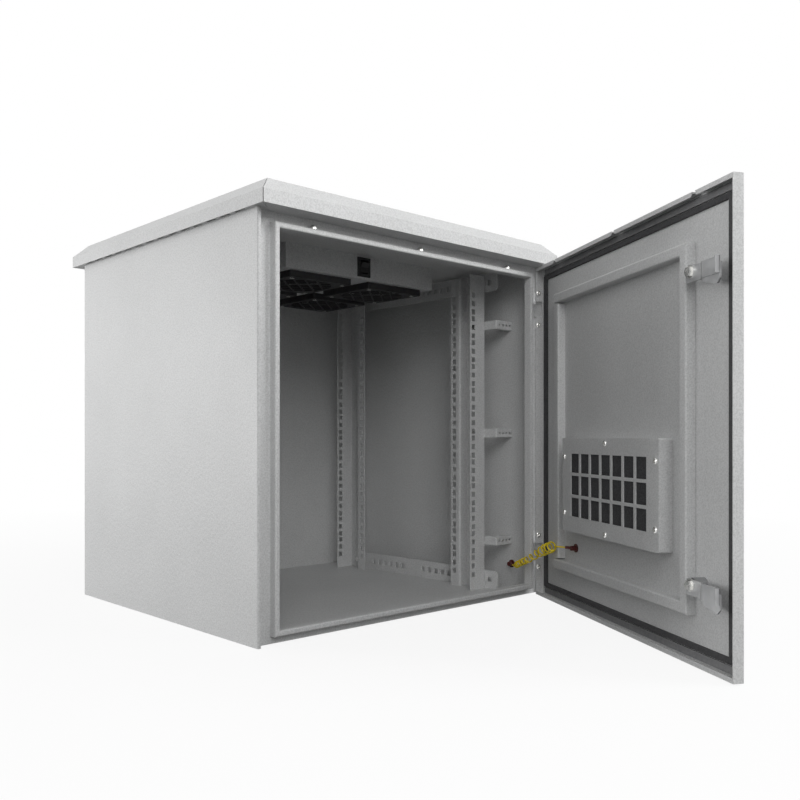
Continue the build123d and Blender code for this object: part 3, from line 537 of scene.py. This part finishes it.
# The gasket's inner and outer edges in the door's own frame, and its foot and top
local = [door_turn.inverted() @ (vertex.co - hinge) for vertex in nodes["door_gasket"].data.vertices]
xs = sorted({round(point.x, 5) for point in local})
zs = sorted({round(point.z, 5) for point in local})
foot_y = min(point.y for point in local)
top_y = max(point.y for point in local)
# Sections as shares of the gasket's width, outwards, and of its height
bead_shares = [(0, 0), (0, 0.6), (0.07, 0.95), (0.2, 1), (0.8, 1), (0.93, 0.95), (1, 0.6), (1, 0)]
bead_end_share = 0.42
channel_shares = [(0.47, 0.0), (0.47, 0.85), (0.54, 0.85), (0.56, 0.2), (0.97, 0.2), (1.0, 0.0)]


def between(start, end, share):
    """A value on the way from a start to an end."""
    return start + (end - start) * share


def door_row(mesh, places):
    """Points at places in the door's own frame."""
    return [mesh.verts.new(hinge + door_turn @ Vector(place)) for place in places]


def gasket_bead():
    """A foam bead with soft edges, mitred at its corners and narrower at the top and bottom."""
    mesh = bmesh.new()
    rows = []
    for share, rise in bead_shares:
        left = between(xs[1], xs[0], share)
        right = between(xs[-2], xs[-1], share)
        low = between(zs[1], zs[0], share * bead_end_share)
        high = between(zs[-2], zs[-1], share * bead_end_share)
        y = between(foot_y, top_y, rise)
        rows.append(door_row(mesh, [(left, y, low), (right, y, low), (right, y, high), (left, y, high)]))
    join_rows(mesh, rows + rows[:1])
    bmesh.ops.recalc_face_normals(mesh, faces=mesh.faces)
    fitting("gasket_bead", mesh, foam, "door", "door_gasket")


def gasket_channel():
    """A lip and a low land beside the bead at the top and bottom, in a grey that is painted shade for the door's
    painted channel lying in the flange's shade.
    """
    mesh = bmesh.new()
    for inner, outer in ((zs[1], zs[0]), (zs[-2], zs[-1])):
        section = [
            (between(foot_y, top_y, rise), between(inner, outer, share))
            for share, rise in channel_shares
        ]
        rows = [door_row(mesh, [(x, y, z) for y, z in section]) for x in (xs[0], xs[-1])]
        close_rows(mesh, rows)
    bmesh.ops.recalc_face_normals(mesh, faces=mesh.faces)
    fitting("gasket_channel", mesh, painted_channel_shade, "door")


gasket_bead()
gasket_channel()

# Floor: pale with a soft shadow near the cabinet, it fades to white and gives little light back
floor_half = 9
floor_drop = 0.0005
floor_colour = (0.85, 0.85, 0.85, 1)
floor_roughness = 0.9
floor_specular = 0.1
bounce_colour = (0.1, 0.1, 0.1, 1)
fade_reach = (0.5, 2.2)
fade_white_shares = (0.88, 1.0)
white = (1, 1, 1, 1)

floor_mesh = bpy.data.meshes.new("floor")
floor_corners = [(x * floor_half, y * floor_half, 0) for x, y in ((-1, -1), (1, -1), (1, 1), (-1, 1))]
floor_mesh.from_pydata(floor_corners, [], [(0, 1, 2, 3)])
floor = bpy.data.objects.new("floor", floor_mesh)
floor.location = (0, 0, -floor_drop)
scene.collection.objects.link(floor)


def seen_rays(tree):
    """1 for what the camera, mirrors and glass see, else 0."""
    path = tree.nodes.new("ShaderNodeLightPath")
    seen = path.outputs["Is Camera Ray"]
    for name in ("Is Glossy Ray", "Is Transmission Ray"):
        either = tree.nodes.new("ShaderNodeMath")
        either.operation = "MAXIMUM"
        tree.links.new(seen, either.inputs[0])
        tree.links.new(path.outputs[name], either.inputs[1])
        seen = either.outputs[0]
    return seen


def mix_shader(tree, factor, first, second):
    """Two shaders mixed by a factor."""
    mix = tree.nodes.new("ShaderNodeMixShader")
    tree.links.new(factor, mix.inputs["Fac"])
    tree.links.new(first, mix.inputs[1])
    tree.links.new(second, mix.inputs[2])
    return mix.outputs[0]


floor_look, floor_tree, pale = new_tree("floor")
pale.inputs["Base Color"].default_value = floor_colour
pale.inputs["Roughness"].default_value = floor_roughness
pale.inputs["Specular IOR Level"].default_value = floor_specular
dim = floor_tree.nodes.new("ShaderNodeBsdfDiffuse")
dim.inputs["Color"].default_value = bounce_colour
glow = floor_tree.nodes.new("ShaderNodeEmission")
glow.inputs["Color"].default_value = white
away = floor_tree.nodes.new("ShaderNodeVectorMath")
away.operation = "LENGTH"
floor_tree.links.new(object_space(floor_tree), away.inputs[0])
fade = map_range(floor_tree, away.outputs["Value"], fade_reach, fade_white_shares)
seen_floor = mix_shader(floor_tree, fade, pale.outputs[0], glow.outputs[0])
floor_tree.links.new(
    mix_shader(floor_tree, seen_rays(floor_tree), dim.outputs[0], seen_floor),
    floor_tree.nodes["Material Output"].inputs["Surface"],
)
floor_mesh.materials.append(floor_look)

# Sky: white where it is seen, and a soft light that is dimmer overhead
sky_heights = (0.0, 1.0)
sky_levels = (0.82, 0.40)

world = bpy.data.worlds.new("world")
scene.world = world
world.use_nodes = True
sky_tree = world.node_tree
sky = sky_tree.nodes["Background"]
sky.inputs["Color"].default_value = white
height = sky_tree.nodes.new("ShaderNodeSeparateXYZ")
sky_tree.links.new(sky_tree.nodes.new("ShaderNodeTexCoord").outputs["Generated"], height.inputs[0])
level = map_range(sky_tree, height.outputs["Z"], sky_heights, sky_levels)
sky_tree.links.new(level, sky.inputs["Strength"])
backdrop = sky_tree.nodes.new("ShaderNodeBackground")
backdrop.inputs["Color"].default_value = white
backdrop.inputs["Strength"].default_value = 1.0
sky_tree.links.new(
    mix_shader(sky_tree, seen_rays(sky_tree), sky.outputs[0], backdrop.outputs[0]),
    sky_tree.nodes["World Output"].inputs["Surface"],
)

# Soft square lamps that face the cabinet: place and power
lamp_aim = Vector((0, 0, 0.35))
lamp_size = 1.2
lamps = {
    "front_right": ((1.36, -2.36, 1.62), 34),
    "front_left": ((-1.36, -2.36, 1.62), 20),
    "back_left": ((-2.1, 2.1, 0.5), 38),
}
for name, (place, power) in lamps.items():
    lamp_data = bpy.data.lights.new(name, "AREA")
    lamp_data.size = lamp_size
    lamp_data.energy = power
    lamp = bpy.data.objects.new(name, lamp_data)
    scene.collection.objects.link(lamp)
    lamp.location = place
    lamp.rotation_euler = (lamp_aim - Vector(place)).to_track_quat("-Z", "Y").to_euler()
